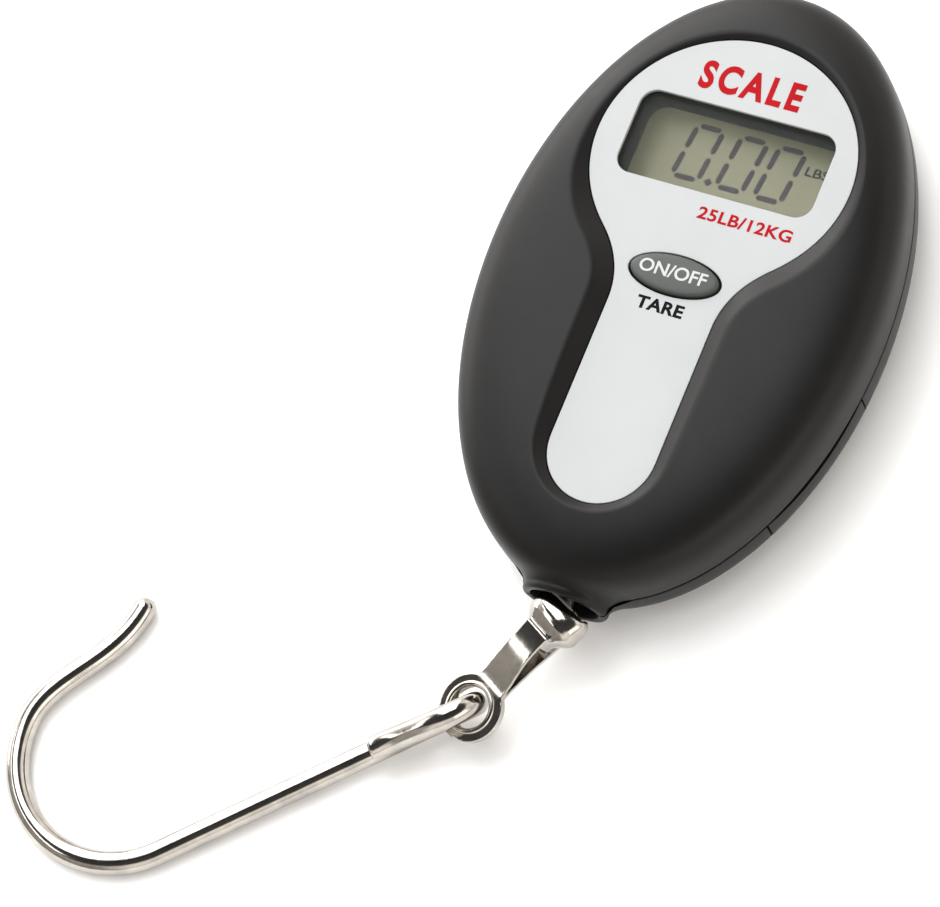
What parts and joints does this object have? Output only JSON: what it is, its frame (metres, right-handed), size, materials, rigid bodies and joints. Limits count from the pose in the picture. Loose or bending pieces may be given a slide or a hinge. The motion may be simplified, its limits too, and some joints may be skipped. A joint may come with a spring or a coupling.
{
  "type": "digital fish scale",
  "caption": "Palm-sized digital hanging scale for fish: black pebble case with keyhole faceplate, display and button, and a wire hook on a folded link.",
  "frame": {"origin": "centre of the flat back of the case, on the surface it lies on", "axes": "+Z out of the display face, +Y from the hook end to the display end, +X to the right of the display"},
  "size_m": [0.1019, 0.1478, 0.0203],
  "materials": {
    "soft_touch_black": "soft-touch coated moulding, satin",
    "face_white": "pale silver-white printed plate, satin",
    "clear_window": "clear flat window",
    "dark_plastic": "dark moulded plastic",
    "lcd_glass": "grey-green liquid crystal cell",
    "rubber_strip": "conductive rubber strip",
    "circuit_board": "green solder mask",
    "epoxy_blob": "black epoxy",
    "button_rubber": "grey-green moulded rubber",
    "ivory_plastic": "ivory moulded plastic",
    "steel": "plated steel",
    "beam_aluminium": "milled aluminium",
    "gauge_film": "polyimide film",
    "cell_steel": "polished can",
    "nickel": "bright nickel plate",
    "lead_red": "red wire insulation",
    "lead_black": "black wire insulation"
  },
  "bodies": {
    "case": {"front_shell": "soft_touch_black", "rear_shell": "soft_touch_black", "faceplate": "face_white", "window_lens": "clear_window", "lcd_frame": "dark_plastic", "lcd_panel": "lcd_glass", "zebra_strip": "rubber_strip", "main_board": "circuit_board", "controller_blob": "epoxy_blob", "switch_body": "dark_plastic", "case_screw_1": "steel", "case_screw_2": "steel", "case_screw_3": "steel", "case_screw_4": "steel", "load_cell": "beam_aluminium", "load_cell_screw_1": "steel", "load_cell_screw_2": "steel", "strain_gauge_left": "gauge_film", "strain_gauge_right": "gauge_film", "hanger_bracket": "steel", "hanger_screw": "steel", "battery_holder": "dark_plastic", "coin_cell": "cell_steel", "contact_negative": "steel", "contact_positive": "steel", "gauge_ribbon": "gauge_film", "battery_lead_red": "lead_red", "battery_lead_black": "lead_black"},
    "button": {"button_cap": "button_rubber"},
    "switch": {"switch_plunger": "ivory_plastic"},
    "door": {"battery_door": "soft_touch_black"},
    "swivel": {"swivel_stud": "steel"},
    "link": {"link_strap": "nickel", "link_eyelet": "nickel"},
    "hook": {"hook": "nickel"}
  },
  "joints": [
    {"name": "button_press", "type": "slide", "parent": "case", "child": "button", "axis": [0, 0, -1], "range_m": [0, 0.0006], "stiffness_N_per_m": 1500},
    {"name": "switch_press", "type": "slide", "parent": "case", "child": "switch", "axis": [0, 0, -1], "range_m": [0, 0.0003]},
    {"name": "door_hinge", "type": "hinge", "parent": "case", "child": "door", "pos_m": [0.00138, -0.01126, 0.00005], "axis": [0.2461, 0.9692, 0], "range_deg": [0, 75]},
    {"name": "swivel_spin", "type": "hinge", "parent": "case", "child": "swivel", "pos_m": [0, -0.041, 0.0098], "axis": [0, 1, 0], "continuous": true},
    {"name": "link_swing", "type": "hinge", "parent": "swivel", "child": "link", "pos_m": [0, -0.049, 0.0098], "axis": [0, 0, 1], "range_deg": [-6, 64]},
    {"name": "hook_swing", "type": "hinge", "parent": "link", "child": "hook", "pos_m": [-0.00815, -0.0638, 0.0061], "axis": [-0.1032, -0.1873, 0.9769], "range_deg": [-45, 80]}
  ],
  "couplings": [
    {"joint": "switch_press", "follows": "button_press", "ratio": 0.5}
  ]
}
